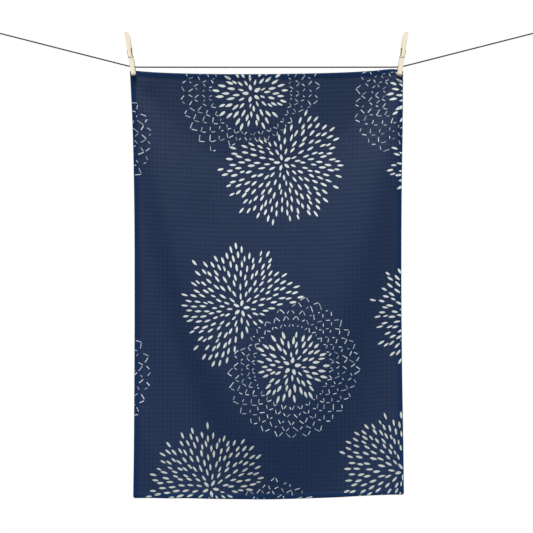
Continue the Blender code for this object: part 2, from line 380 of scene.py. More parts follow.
def knotRun():
    # from the loop's centre to where the line begins, on the knot's far side
    return loop["length"] / 2 - loop["knotOverlap"] + loop["knotLength"] + loop["gap"]


def endFrame(side):
    start = linePoint(side * line["endFromMiddle"])
    inward = (linePoint(side * (line["endFromMiddle"] - loop["length"])) - start).normalized()
    return start, inward


def makeEnd(name, side, material):
    # a teardrop loop, three wraps that hold it, and the short tail left over
    centre, inward = endFrame(side)
    depth = Vector((0.0, 1.0, 0.0))
    up = Vector((-inward.z, 0.0, inward.x))
    eye = []
    for index in range(loop["points"] + 1):
        turn = math.tau * index / loop["points"] - math.pi
        along = -math.cos(turn) * loop["length"] / 2
        wide = math.sin(turn) * math.cos(turn / 2) ** 2 * loop["width"]
        wide += math.copysign(loop["neck"], turn) * math.sin(turn / 2) ** 2
        eye.append(centre + inward * along + up * wide)
    knotStart = centre + inward * (loop["length"] / 2 - loop["knotOverlap"])
    wraps, outward = [], []
    for index in range(loop["wrapSteps"] + 1):
        share = index / loop["wrapSteps"]
        angle = math.tau * loop["knotWraps"] * share
        away = math.cos(angle) * depth + math.sin(angle) * up
        margin = line["diameter"] / 2
        along = margin + (loop["knotLength"] - 2 * margin) * share
        wraps.append(knotStart + inward * along + away * loop["wrapRadius"])
        outward.append(away)
    tail = []
    tailRise, tailBend = loop["tailOff"]
    for index in range(loop["tailSteps"] + 1):
        share = index / loop["tailSteps"]
        bend = up * (tailRise + tailBend * share ** 2) - depth * loop["tailFront"]
        tail.append(knotStart + inward * (loop["knotLength"] * 0.5 + loop["tail"] * share) + bend)
    neckSteps, neckLength = loop["neckSteps"], loop["knotLength"] + loop["neckPast"]
    neck = [knotStart + inward * neckLength * step / neckSteps for step in range(neckSteps + 1)]
    routes = []
    for route, across in ((eye, None), (wraps, outward), (tail, None), (neck, None)):
        strands, strandRadius = strandRoutes(route, across or [depth] * len(route))
        routes += strands
    return tubes(name, routes, strandRadius, material)


cordMaterial = makeCordMaterial()
clothesline, lineRoute = makeLine(cordMaterial)
loopLeft = makeEnd("end_loop_left", -1, cordMaterial)
loopRight = makeEnd("end_loop_right", 1, cordMaterial)
for piece, node in ((clothesline, "line"), (loopLeft, "line_end_left"), (loopRight, "line_end_right")):
    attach(piece, "root")
    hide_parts(node)
print("line:", len(clothesline.data.polygons), "faces")


# The hang of the towel: how its edges run, and its folds

towel = {
    "width": 0.4064,  # cut flat
    "length": 0.635,
    "underLine": 0.0045,  # top corners below the line
    "cornerFade": 0.036,  # nearer to a peg than this the cloth lies flat
    "creaseFade": 0.2,  # a crease dies away over this share of its length, at each end
}

# The towel's outline, measured in the photo
# drop: below the top corners; left, right: how far each side comes in
towelSides = table("drop left right", (
    (0.000, 0.0000, 0.0000),
    (0.080, 0.0036, 0.0005),
    (0.180, 0.0058, 0.0017),
    (0.320, 0.0070, 0.0018),
    (0.450, 0.0078, 0.0008),
    (0.560, 0.0073, -0.0003),
    (0.638, 0.0062, -0.0005),
))

# across: 0 at the left corner, 1 at the right; top, bottom: how far each edge lies low
towelEdges = table("across top bottom", (
    (0.00, 0.0000, -0.0009),
    (0.08, 0.0027, -0.0014),
    (0.18, 0.0044, -0.0001),
    (0.30, 0.0054, 0.0044),
    (0.45, 0.0056, 0.0055),
    (0.60, 0.0050, 0.0044),
    (0.75, 0.0036, 0.0026),
    (0.88, 0.0011, -0.0015),
    (0.96, -0.0018, -0.0041),
    (1.00, 0.0000, -0.0048),
))

# Soft folds that swing in bows from corner to corner, one below the other. Their numbers and
# those of the creases are the rounded result of a least-squares fit to the photo's shading.
towelBows = table("centre reach span forward early", (
    (-0.005, 0.145, 0.198, -0.0083, 1.35),
    (0.004, 0.509, 0.203, 0.0020, 0.8),
    (0.023, 0.692, 0.258, -0.0108, 1.0),
    (0.077, 0.960, 0.400, 0.0219, 1.2),
))

# a trough and a ridge, from (across from the middle, drop) to the same at the other end
towelCreases = table("start end width forward", (
    ((-0.099, 0.195), (-0.068, 0.400), 0.028, -0.0019),
    ((0.170, 0.111), (0.097, 0.385), 0.032, 0.0019),
))


def smooth(t):
    t = min(max(t, 0.0), 1.0)
    return t * t * (3.0 - 2.0 * t)


def readRow(rows, key, at):
    # every column of a table at a place between its rows, on a smooth curve
    last = len(rows) - 1
    i = 0
    while i < last - 1 and at > rows[i + 1][key]:
        i += 1
    low, high = rows[i], rows[i + 1]
    before, after = rows[max(i - 1, 0)], rows[min(i + 2, last)]
    width = high[key] - low[key]
    t = min(max((at - low[key]) / width, 0.0), 1.0)
    values = {}
    for column in low:
        slopeLow = (high[column] - before[column]) / (high[key] - before[key])
        slopeHigh = (after[column] - low[column]) / (after[key] - low[key])
        values[column] = (
            low[column] * (1 + 2 * t) * (1 - t) ** 2
            + high[column] * t * t * (3 - 2 * t)
            + width * slopeLow * t * (1 - t) ** 2
            + width * slopeHigh * t * t * (t - 1)
        )
    return values


def bowForward(x, drop):
    upperDrop, upperForward = 0.0, 0.0
    for index, bow in enumerate(towelBows):
        share = max(1.0 - ((x - bow["centre"]) / bow["span"]) ** 2, 0.0)
        reach, forward = bow["reach"] * share, bow["forward"] * share
        if drop <= reach:
            t = (drop - upperDrop) / max(reach - upperDrop, 1e-6)
            ease = 1.0 - (1.0 - t) ** bow["early"] if index == 0 else smooth(t ** bow["early"])
            return upperForward + (forward - upperForward) * ease
        upperDrop, upperForward = reach, forward
    return upperForward


def creaseForward(x, drop):
    total = 0.0
    here = Vector((x, drop))
    fade = towel["creaseFade"]
    for crease in towelCreases:
        start, end = Vector(crease["start"]), Vector(crease["end"])
        along = (here - start).dot(end - start) / (end - start).length_squared
        beside = (here - start.lerp(end, along)).length
        ends = smooth((along + fade) / (2 * fade)) * smooth((1.0 + fade - along) / (2 * fade))
        total += crease["forward"] * ends * math.exp(-((beside / crease["width"]) ** 2))
    return total


def clothForward(x, drop):
    calm = 1.0
    for side in (-1, 1):
        away = math.hypot(x - side * line["pegFromMiddle"], drop)
        calm *= 1.0 - math.exp(-((away / towel["cornerFade"]) ** 4))
    return calm * (bowForward(x, drop) + creaseForward(x, drop))


def hungPoint(u, v):
    # where a place on the flat towel hangs; u is metres from its left edge, v from its top
    across, down = u / towel["width"], v / towel["length"]
    edge = readRow(towelEdges, "across", across)
    drop = edge["top"] + (towel["length"] + edge["bottom"] - edge["top"]) * down
    side = readRow(towelSides, "drop", drop)
    left = -towel["width"] / 2 + side["left"]
    right = towel["width"] / 2 - side["right"]
    x = left + (right - left) * across
    forward = clothForward(x, max(drop, 0.0))
    return middle + Vector((x, -forward, -towel["underLine"] - drop))


def faceDirection(u, v):
    # square to the hung cloth, toward the viewer
    step = 0.001
    u = min(max(u, step), towel["width"] - step)
    v = min(max(v, step), towel["length"] - step)
    right = hungPoint(u + step, v) - hungPoint(u - step, v)
    below = hungPoint(u, v + step) - hungPoint(u, v - step)
    return below.cross(right).normalized()


# The cloth inside the hems, woven in small square pits

waffle = {
    "hem": 0.0072,
    "cellsAcross": 61,
    "cellsDown": 93,
    "ridge": 0.00080,  # half the cloth's thickness at a ridge
    "pit": 0.00056,  # and at the floor of a pit
    "rim": 0.0030,  # the woven cloth ends inside the hem, this far from the edge
    "uneven": 0.00003,
    "frontPlaces": (0.0, 0.26, 0.74),  # points across a cell, the first on its ridge
    "backPlaces": (0.0, 0.5),
    "seed": 5,
}


def waffleGrid():
    # for the cells across and down: the cloth's size, how many cells, and the size of one
    for size, cells in ((towel["width"], waffle["cellsAcross"]), (towel["length"], waffle["cellsDown"])):
        yield size, cells, (size - 2 * waffle["hem"]) / cells


def waffleSide(shares, facing):
    # one side of the cloth: points, flat places, and the number of rows and columns
    steps = len(shares)
    dice = random.Random(waffle["seed"] + steps)
    cloth = []
    for size, cells, pitch in waffleGrid():
        places = [waffle["hem"] + pitch * (cell + share) for cell in range(cells) for share in shares]
        cloth.append([waffle["rim"]] + places + [size - waffle["hem"], size - waffle["rim"]])
    columns, rows = cloth
    hung = np.array([[hungPoint(u, v) for u in columns] for v in rows])
    right, below = np.gradient(hung, axis=1), np.gradient(hung, axis=0)
    normal = np.cross(below, right)
    normal /= np.linalg.norm(normal, axis=2, keepdims=True)
    height = np.empty(hung.shape[:2])
    for j in range(len(rows)):
        for i in range(len(columns)):
            onRim = i in (0, len(columns) - 1) or j in (0, len(rows) - 1)
            onRidge = (i - 1) % steps == 0 or (j - 1) % steps == 0
            level = waffle["ridge"] if onRidge else waffle["pit"]
            height[j, i] = waffle["pit"] if onRim else level + dice.uniform(-1, 1) * waffle["uneven"]
    points = hung + normal * height[..., None] * facing
    flat = [(u, v) for v in rows for u in columns]
    return points.reshape(-1, 3), flat, len(rows), len(columns)


def gridQuads(rows, columns, start, flip):
    quads = []
    for j in range(rows - 1):
        for i in range(columns - 1):
            a = start + j * columns + i
            quad = (a, a + columns, a + columns + 1, a + 1)
            quads.append(quad[::-1] if flip else quad)
    return quads


def setFlatMap(mesh, flat):
    # the map holds metres on the flat cloth, so that print and weave keep their size
    layer = mesh.uv_layers.new(name="flat")
    corners = np.empty(len(mesh.loops), int)
    mesh.loops.foreach_get("vertex_index", corners)
    layer.data.foreach_set("uv", np.array(flat)[corners].astype(np.float32).ravel())


def clothMesh(name, points, quads, flat, reverseFrom=None):
    # a closed skin of quads; those from reverseFrom on take the second material, and a gap is bridged
    mesh = bpy.data.meshes.new(name)
    mesh.from_pydata(points, [], quads)
    build = bmesh.new()
    build.from_mesh(mesh)
    if reverseFrom:
        build.faces.ensure_lookup_table()
        for number in range(reverseFrom, len(quads)):
            build.faces[number].material_index = 1
        bmesh.ops.bridge_loops(build, edges=[edge for edge in build.edges if edge.is_boundary])
    bmesh.ops.recalc_face_normals(build, faces=build.faces)
    build.to_mesh(mesh)
    build.free()
    setFlatMap(mesh, flat)
    mesh.shade_smooth()
    return mesh


def makeCloth(face, reverse):
    front, frontFlat, rows, columns = waffleSide(waffle["frontPlaces"], 1)
    back, backFlat, backRows, backColumns = waffleSide(waffle["backPlaces"], -1)
    quads = gridQuads(rows, columns, 0, False)
    frontCount = len(quads)
    quads += gridQuads(backRows, backColumns, len(front), True)
    points = np.vstack((front, back)).tolist()
    mesh = clothMesh("towel_cloth", points, quads, frontFlat + backFlat, frontCount)
    piece = addPiece("towel_cloth", mesh, face)
    mesh.materials.append(reverse)
    return piece


# The hem: the edge of the cloth folded over and sewn down

hem = {
    "cornerRadius": 0.0032,
    "leastRadius": 0.0003,
    "step": 0.003,  # between points along the edge
    "cornerSteps": 8,
    "pucker": 0.00008,
    "stitchLine": 0.0056,  # from the edge
    "stitchLength": 0.0023,
    "stitchSpacing": 0.0031,
    "stitchStart": 0.12,
    "stitchShape": ((0.0, -0.8), (0.18, 0.7), (0.82, 0.7), (1.0, -0.8)),  # share along, thread radii up
    "threadRadius": 0.00022,
    "threadTones": (1.2, 2.0),  # of the cloth's dye
    "threadRoughness": 0.7,
    "threadPly": 4000.0,
    "seed": 11,
}

# in: from the towel's edge; out: from the middle of the cloth
hemProfile = table("in out", (
    (0.00800, 0.00035),
    (0.00745, 0.00078),
    (0.00700, 0.00102),
    (0.00640, 0.00112),
    (0.00590, 0.00098),
    (0.00560, 0.00090),
    (0.00530, 0.00098),
    (0.00480, 0.00114),
    (0.00350, 0.00120),
    (0.00200, 0.00118),
    (0.00100, 0.00108),
    (0.00042, 0.00084),
    (0.00010, 0.00044),
    (0.00000, 0.00000),
))


def edgePlaces(inset):
    # places on the flat cloth all round it, at one distance from its edge, corners rounded
    radius = max(hem["cornerRadius"] - inset, hem["leastRadius"])
    low = inset + radius
    right, bottom = towel["width"] - low, towel["length"] - low
    corners = ((right, low, -90), (right, bottom, 0), (low, bottom, 90), (low, low, 180))
    places = []
    for number, (u, v, startAngle) in enumerate(corners):
        for step in range(hem["cornerSteps"] + 1):
            angle = math.radians(startAngle + 90 * step / hem["cornerSteps"])
            places.append((u + radius * math.cos(angle), v + radius * math.sin(angle)))
        size = towel["length"] if number % 2 == 0 else towel["width"]
        count = round(size / hem["step"])
        nextU, nextV, nextAngle = corners[(number + 1) % 4]
        nextAngle = math.radians(nextAngle)
        end = (nextU + radius * math.cos(nextAngle), nextV + radius * math.sin(nextAngle))
        begin = places[-1]
        for step in range(1, count):
            share = step / count
            places.append(tuple(a + (b - a) * share for a, b in zip(begin, end)))
    return places


def makeHem(face):
    dice = random.Random(hem["seed"])
    profile = [(row["in"], row["out"], 1) for row in hemProfile]
    profile += [(row["in"], -row["out"], -1) for row in reversed(hemProfile[:-1])]
    around = len(edgePlaces(0.0))
    pucker = [1.0 + dice.uniform(-1, 1) * hem["pucker"] / hemProfile[3]["out"] for _ in range(around)]
    points, flat = [], []
    for inset, out, facing in profile:
        for number, (u, v) in enumerate(edgePlaces(inset)):
            points.append(hungPoint(u, v) + faceDirection(u, v) * out * pucker[number])
        flat += edgePlaces(inset * facing)  # beyond the edge on the reverse, where nothing is printed
    quads = []
    for ring in range(len(profile)):
        nextRing = (ring + 1) % len(profile)
        for i in range(around):
            j = (i + 1) % around
            quads.append((ring * around + i, ring * around + j, nextRing * around + j, nextRing * around + i))
    return addPiece("towel_hem", clothMesh("towel_hem", points, quads, flat), face)


def makeStitches(thread):
    # short stitches that lie in the hem's sewn groove, on the face and on the reverse
    groove = min(hemProfile, key=lambda row: abs(row["in"] - hem["stitchLine"]))["out"]
    left, top = hem["stitchLine"], hem["stitchLine"]
    right, bottom = towel["width"] - left, towel["length"] - top
    corners = ((left, top), (right, top), (right, bottom), (left, bottom))
    routes = []
    for number, begin in enumerate(corners):
        end = corners[(number + 1) % 4]
        span = math.dist(begin, end)
        count = round(span / hem["stitchSpacing"])
        for stitch in range(count):
            for facing in (1, -1):
                route = []
                for share, rise in hem["stitchShape"]:
                    at = (stitch + hem["stitchStart"]) / count + share * hem["stitchLength"] / span
                    u, v = (a + (b - a) * at for a, b in zip(begin, end))
                    out = groove + rise * hem["threadRadius"]
                    route.append(hungPoint(u, v) + faceDirection(u, v) * out * facing)
                routes.append(route)
    return tubes("hem_stitches", routes, hem["threadRadius"], thread, 1)


# The print, in metres on the flat cloth. A full flower is petals all the way out; an open
# flower has petals at its heart and the tips of more petals, drawn as open strokes, round it.
# spot: across from the left edge, down from the top; toOpen: from a full flower to the open
# one that it overlaps; apart: from the full one to where the other's tips begin

firstPair = {"toOpen": (-0.0450, -0.1028), "apart": 0.070}
secondPair = {"toOpen": (0.0760, 0.0860), "apart": 0.080}
boundReach = 0.090  # the bound between them is a circle about a point this far past the open one

fullFlowers = table("spot pair", (
    ((0.2256, 0.1316), firstPair),
    ((0.4797, 0.1394), firstPair),
    ((0.1616, 0.3489), secondPair),
    ((0.1147, 0.6195), secondPair),
    ((0.4535, 0.3657), secondPair),
    ((0.4061, 0.6004), secondPair),
))

openFlowers = table("spot pair", (
    ((0.1806, 0.0288), firstPair),
    ((0.4382, 0.0360), firstPair),
    ((0.2379, 0.4356), secondPair),
    ((0.1904, 0.7044), secondPair),
    ((-0.0794, 0.1012), secondPair),
    ((-0.0820, 0.4582), secondPair),
))

# a full flower's petals, and those at an open flower's heart
petalSettings = {
    "heartRadius": (0.0084, 0.0096),
    "heartCount": (5.0, 5.0),
    "heartLength": (0.0097, 0.0096),
    "heartWidth": (0.0044, 0.0051),
    "firstRing": (0.0204, 0.0204),  # middle of the first zigzag ring
    "ringSpacing": (0.0137, 0.0142),
    "zigzag": (0.0029, 0.0031),  # every other petal in a ring lies this far out, the rest as far in
    "petalsPerMetre": (385.0, 392.0),  # of a ring's radius, for each half of the zigzag
    "length": (0.0101, 0.0115),
    "width": (0.0031, 0.0036),
    "fullness": (0.05, -0.25),  # wider toward the outer tip, or toward the inner one if negative
    "smallest": (0.92, 0.60),  # size of the innermost petals
    "grown": (1.02, 1.00),
    "growTo": (0.050, 0.032),
    "clearance": (0.0036, 0.0046),  # sideways room left from a petal of the ring inside
    "dodge": (0.75, 0.75),  # how far aside, and how far out, a petal goes for each metre
    "push": (0.45, 0.25),  # that it lacks of that room
    "inward": (0.0060, 0.0068),  # the longest half of a petal, toward the flower's centre
    "rim": (0.0885, 0.0520),
    "ragged": (0.0150, 0.0080),
}
fullPetals = {name: values[0] for name, values in petalSettings.items()}
openPetals = {name: values[1] for name, values in petalSettings.items()}

petalHand = {  # how unevenly a petal is drawn
    "wander": 0.0008,
    "lean": 0.10,
    "lengthChange": 0.16,
    "widthChange": 0.20,
    "crowded": 0.22,  # a petal with no room is this much smaller
    "growFrom": 0.006,  # petals in a ring of this radius or less are the smallest
    "bluntness": 0.8,  # 1 for pointed ends, less for rounder ones
    "coolChance": 0.90,  # above this the outer end of a petal is cooler
    "coolFrom": 0.1,  # and the tone sets in between these shares of its half length
    "coolTo": 0.6,
    "halo": 0.0010,  # no stroke comes nearer to a petal than this
    "soft": 0.00022,
}

ringSwing = {  # the rings swing in and out as they go round
    "waves": (2.0, 3.0, 5.0),
    "heights": (0.0031, 0.0026, 0.0015),
    "petals": (0.010, 0.060),  # from round rings to ones that swing in full
    "tips": (0.030, 0.095),
}

openTips = {
    "firstRing": 0.0605,
    "ringSpacing": 0.0100,
    "rings": 5,
    "count": 30,
    "halfWidth": 0.35,  # as a share of one tip's room in its ring
    "height": 0.0060,
    "heightGrowth": 0.0006,  # more for each ring out
    "sizeChange": 0.30,
    "widthChange": 0.30,  # and a taller tip is narrower
    "stroke": 0.00110,
    "bow": 0.0002,
    "wander": 0.0016,
    "lean": 0.08,
    "apexGap": 0.44,  # strokes may stop short by up to this share
    "footGap": 0.34,
    "endSoft": (-0.04, 0.06),
    "faintest": 0.38,
    "fullReach": 0.0965,  # from a full flower's centre to the last tip that its petals hide
    "soft": 0.00025,
}

draws = {  # what keeps one draw of random numbers apart from the next
    "swing": 0.5,
    "ringStart": 50.0,
    "secondPetal": 100.0,
    "strokeEnds": 60.0,
    "flank": 0.25,  # the two strokes of one tip
    "flower": 3.0,
    "mostStart": 10.0,  # a ring starts up to this many petals round
}


def turnWires(x, y, number, drawOrder):
    # distance from the flower's centre, share of a turn round it, and the flower's own seed
    return lengthOf(x, y), y.math("ARCTAN2", x) / math.tau + 0.5, number * draws["flower"] + drawOrder


def swing(turn, radius, number, ramp):
    # how far out a flower's rings lie at one place round it
    total = 0.0
    phases = chances(number, draws["swing"], draws["swing"])
    for wave, height, phase in zip(ringSwing["waves"], ringSwing["heights"], phases):
        total = ((turn * wave + phase) * math.tau).math("SINE") * height + total
    return total * softStep(radius, *ramp)


def drawnSpot(heading, centre, number, ramp):
    # where a petal or tip really lies, once its ring swings: its distance, and its place
    swung = centre + swing(heading, centre, number, ramp)
    angle = (heading - 0.5) * math.tau
    return swung, (angle.math("COSINE") * swung, angle.math("SINE") * swung)


def pastBound(spot, partner, apart, fromOpen):
    # 1 where a petal lies on the full flower's side of the bound between a pair
    share = lengthOf(*partner).math("POWER", -1.0) * boundReach
    share = share * -1.0 if fromOpen else share + 1.0
    away = lengthOf(*(here - there * share for here, there in zip(spot, partner)))
    return away.math("GREATER_THAN", apart + boundReach)


flowerInputs = ("X", "Y", "Flower", "Partner X", "Partner Y", "Apart")


def petalGroup(name, flower):
    # node group: the petals of one flower about the point (X, Y) = (0, 0)
    tree, (x, y, number, *partner, apart), sink = newGroup(name, flowerInputs, ("Petal", "Cool", "Halo"))
    radius, turn, seed = turnWires(x, y, number, 1.0)
    radius = radius - swing(turn, radius, number, ringSwing["petals"])

    def ringTurn(ring, half):
        return chances(ring, seed, draws["ringStart"])[0] * draws["mostStart"] + half / 2.0

    def oneHalf(ring, ringRadius, count, half, length, width, inner=None):
        # inner: count and turn of the petals inside, which these keep clear of and grow larger than
        offset = ringTurn(ring, half)
        spun = turn * count + offset
        cell = spun.math("FLOOR")
        place = cell.math("FLOORED_MODULO", count)
        out, aside, lean, change = chances(place, ring * 2.0 + half, seed)
        wider, ragged, shade, _ = chances(place, ring * 2.0 + half, seed + draws["secondPetal"])
        centre = (out - 0.5) * petalHand["wander"] + ringRadius
        beside = (spun - cell - 0.5) * radius * math.tau / count
        beside = beside - (aside - 0.5) * petalHand["wander"]
        heading = (cell + 0.5 - offset) / count
        if inner:
            innerCount, innerTurn = inner
            past = (heading * innerCount + innerTurn).math("FLOORED_MODULO", 1.0) - 0.5
            past = past * centre * math.tau / innerCount
            short = (flower["clearance"] - past.math("ABSOLUTE")).math("MAXIMUM", 0.0)
            beside = beside - past.math("SIGN") * short * flower["dodge"]
            centre = centre + short * flower["push"]
            size = softStep(ringRadius, petalHand["growFrom"], flower["growTo"])
            size = size * (flower["grown"] - flower["smallest"]) + flower["smallest"]
            size = size * (1.0 - short * (petalHand["crowded"] / flower["clearance"]))
            length, width = size * length, size * width
        outward = radius - centre
        tilt = (lean - 0.5) * 2.0 * petalHand["lean"]
        along = outward + beside * tilt
        across = beside - outward * tilt
        share = along / (((change - 0.5) * petalHand["lengthChange"] + 1.0) * (length * 0.5))
        swell = (1.0 - share * share).math("MAXIMUM", 0.0).math("POWER", petalHand["bluntness"])
        swell = swell * (share * flower["fullness"] + 1.0)
        halfWidth = swell * ((wider - 0.5) * petalHand["widthChange"] + 1.0) * (width * 0.5)
        soft = petalHand["soft"]
        depth = halfWidth - across.math("ABSOLUTE")
        inside = softStep(depth, -soft, soft) * share.math("ABSOLUTE").math("LESS_THAN", 1.0)
        near = depth.math("GREATER_THAN", -petalHand["halo"])
        near = near * along.math("ABSOLUTE").math("LESS_THAN", length * 0.5 + petalHand["halo"])
        swung, spot = drawnSpot(heading, centre, number, ringSwing["petals"])
        edge = (ragged - 0.5) * flower["ragged"] + flower["rim"]
        kept = pastBound(spot, partner, apart, False) * ((centre + swung) * 0.5).math("LESS_THAN", edge)
        cool = shade.math("GREATER_THAN", petalHand["coolChance"])
        cool = cool * softStep(share, petalHand["coolFrom"], petalHand["coolTo"])
        return inside * kept, cool, near * kept

    heartSize = flower["heartLength"], flower["heartWidth"]
    drawn, _, halo = oneHalf(-1.0, flower["heartRadius"], flower["heartCount"], 0.0, *heartSize)
    coolness = 0.0
    for half, shift in enumerate((-flower["zigzag"], flower["zigzag"])):
        ring = (radius - flower["firstRing"] - shift + flower["inward"]) / flower["ringSpacing"]
        ring = ring.math("FLOOR").math("MAXIMUM", 0.0)
        band = ring * flower["ringSpacing"] + flower["firstRing"]
        count = (band * flower["petalsPerMetre"]).math("ROUND")
        if half == 0:
            innerCount = ((band - flower["ringSpacing"]) * flower["petalsPerMetre"]).math("ROUND")
            innerTurn = ringTurn(ring - 1.0, ring.math("GREATER_THAN", 0.0))
            inner = (innerCount.math("MAXIMUM", flower["heartCount"]), innerTurn)
        else:
            inner = (count, ringTurn(ring, 0.0))
        size = flower["length"], flower["width"]
        mask, cool, near = oneHalf(ring, band + shift, count, float(half), *size, inner)
        drawn = drawn.math("MAXIMUM", mask)
        halo = halo.math("MAXIMUM", near)
        coolness = (cool * mask).math("MAXIMUM", coolness)
    for name, value in (("Petal", drawn), ("Cool", coolness), ("Halo", halo)):
        plug(value, sink.inputs[name])
    return tree


def tipGroup():
    # node group: the open petal tips, two strokes to a tip, that ring an open flower
    tree, (x, y, number, *partner, apart), sink = newGroup("open tips", flowerInputs, ("Stroke",))
    radius, turn, seed = turnWires(x, y, number, 2.0)
    radius = radius - swing(turn, radius, number, ringSwing["tips"])
    ring = ((radius - openTips["firstRing"]) / openTips["ringSpacing"] + 0.5).math("FLOOR")
    ring = ring.math("MAXIMUM", 0.0).math("MINIMUM", openTips["rings"] - 1.0)
    offset = ring * 0.5
    count = float(openTips["count"])
    spun = turn * count + offset
    cell = spun.math("FLOOR")
    place = cell.math("FLOORED_MODULO", count)
    out, aside, size, lean = chances(place, ring, seed)
    centre = ring * openTips["ringSpacing"] + openTips["firstRing"] + (out - 0.5) * openTips["wander"]
    beside = (spun - cell - 0.5) * radius * (math.tau / count) - (aside - 0.5) * openTips["wander"]
    beside = beside - (radius - centre) * ((lean - 0.5) * 2.0 * openTips["lean"])
    high = ring * openTips["heightGrowth"] + openTips["height"]
    high = high * ((size - 0.5) * openTips["sizeChange"] + 1.0)
    wide = centre * (math.tau / count * openTips["halfWidth"])
    wide = wide * (1.0 - (size - 0.5) * openTips["widthChange"])
    flank = beside.math("SIGN")
    apexCut, footCut, bright, _ = chances(place + flank * draws["flank"], ring, seed + draws["strokeEnds"])
    # along and off are measured from a stroke's foot toward the apex
    sideways = beside.math("ABSOLUTE") - wide
    outward = radius - centre + high * 0.5
    span = lengthOf(wide, high)
    share = (outward * high - sideways * wide) / span / span
    off = (sideways * high + outward * wide) / span - share * (1.0 - share) * 4.0 * openTips["bow"]
    soft = openTips["soft"]
    stroke = softStep(openTips["stroke"] / 2 - off.math("ABSOLUTE"), -soft, soft)
    fromFoot = softStep(share - footCut * openTips["footGap"], *openTips["endSoft"])
    fromApex = softStep(1.0 - apexCut * openTips["apexGap"] - share, *openTips["endSoft"])
    _, spot = drawnSpot((cell + 0.5 - offset) / count, centre, number, ringSwing["tips"])
    fromFull = lengthOf(*(here - there for here, there in zip(spot, partner)))
    hidden = fromFull.math("LESS_THAN", openTips["fullReach"]) * pastBound(spot, partner, apart, True)
    drawn = stroke * fromFoot * fromApex * (1.0 - hidden)
    drawn = drawn * (bright * (1.0 - openTips["faintest"]) + openTips["faintest"])
    plug(drawn, sink.inputs["Stroke"])
    return tree


def pickFlower(place, flowers, sign, reach):
    # the flower that this place lies in: its centre and number, and its partner's place and distance
    centre, partner = clothLook["nowhere"], clothLook["nowhere"]
    for number, flower in enumerate(flowers):
        near = vectorNode("DISTANCE", "Value", place, (*flower["spot"], 0.0)).math("LESS_THAN", reach)
        acrossTo, downTo = flower["pair"]["toOpen"]
        centre = mixNode("VECTOR", near, centre, (*flower["spot"], float(number)))
        partner = mixNode("VECTOR", near, partner, (sign * acrossTo, sign * downTo, flower["pair"]["apart"]))
    return splitXyz(centre), splitXyz(partner)


clothLook = {
    "dye": (0.0054, 0.0240, 0.0815),
    "paintedWeaveShade": (0.0027, 0.0198, 0.0720),  # painted shade in the weave's pits and along its columns
    "hemDye": (0.0050, 0.0255, 0.0830),
    "paintedRimShade": (0.0020, 0.0130, 0.0520),  # painted shade along the rounded fold of the hem
    "rimWidth": 0.0016,
    "bareFibre": (0.58, 0.42, 0.27),  # shows a little through the dye
    "bare": 0.003,
    "yarnBare": (0.010, 0.006),  # more or less of it from yarn to yarn, woven and hem
    "blotchBare": 0.008,
    "yarn": (1500.0, 900.0, 1.0),
    "blotches": (60.0, 60.0, 1.0),
    "yarnBump": (0.00012, 0.5),
    "pitStep": (0.10, 0.85),
    "pitShade": 0.5,
    "columnShade": 0.9,
    "ink": (700.0, 700.0, 1.0),
    "inkShake": 0.0006,
    "inkChange": 0.20,
    "inkCover": 0.95,
    "fullReach": 0.112,  # from a flower's centre to all that it draws
    "openReach": 0.118,
    "nowhere": (9.0, 9.0, 0.0),  # far from every flower
    "petal": (0.765, 0.810, 0.780),
    "lowerPetal": (0.495, 0.525, 0.485),  # petals are darker toward the bottom
    "darkerFrom": 0.20,
    "darkerTo": 0.70,
    "coolPetal": (0.46, 0.60, 0.66),
    "stroke": (0.79, 0.87, 0.91),
    "reverseDye": (0.0060, 0.0210, 0.0640),
    "foldBare": (0.0004, 0.0013),  # the ink starts between these distances from the edge
    "roughness": 0.50,
    "wovenSpecular": 0.62,  # the raised floats catch the light, the flat hem hardly
    "hemSpecular": 0.10,
}


def clothSettings(woven):
    specular = clothLook["wovenSpecular"] if woven else clothLook["hemSpecular"]
    return {"Roughness": clothLook["roughness"], "Specular IOR Level": specular}


def flatPlace(tree):
    node = tree.nodes.new("ShaderNodeUVMap")
    node.uv_map = "flat"
    return Wire(tree, node.outputs["UV"])


def edgeDistance(u, v):
    return u.math("MINIMUM", towel["width"] - u).math("MINIMUM", v).math("MINIMUM", towel["length"] - v)


def dyedCloth(place, dye, woven):
    # the dyed ground and its fine yarn, with painted shade in the weave's pits and along its columns, or
    # along the hem's fold; returns the colour and the yarn's height
    yarn = scaledNoise(place, clothLook["yarn"], 3.0)
    u, v, _ = splitXyz(place)
    if not woven:
        # painted shade: darker along the rounded fold at the cloth's edge
        rim = softStep(edgeDistance(u, v), clothLook["rimWidth"], 0.0)
        ground = mixNode("RGBA", rim, dye, clothLook["paintedRimShade"])
        return mixNode("RGBA", (yarn - 0.5) * clothLook["yarnBare"][1], ground, clothLook["bareFibre"]), yarn
    blotch = (scaledNoise(place, clothLook["blotches"], 4.0) - 0.5) * clothLook["blotchBare"]
    bare = (yarn - 0.5) * clothLook["yarnBare"][0] + blotch + clothLook["bare"]
    # painted shade: the dye darkens in the pits and in a wave along the columns
    pits = []
    for along, (_, _, pitch) in zip((u, v), waffleGrid()):
        wave = ((along - waffle["hem"]) * (math.tau / pitch)).math("COSINE")
        pits.append(0.5 - wave * 0.5)
    pit = softStep(pits[0] * pits[1], *clothLook["pitStep"])
    paintedShadeMix = pit * clothLook["pitShade"] + pits[0] * clothLook["columnShade"]
    ground = mixNode("RGBA", paintedShadeMix, dye, clothLook["paintedWeaveShade"])
    return mixNode("RGBA", bare.math("MAXIMUM", 0.0), ground, clothLook["bareFibre"]), yarn


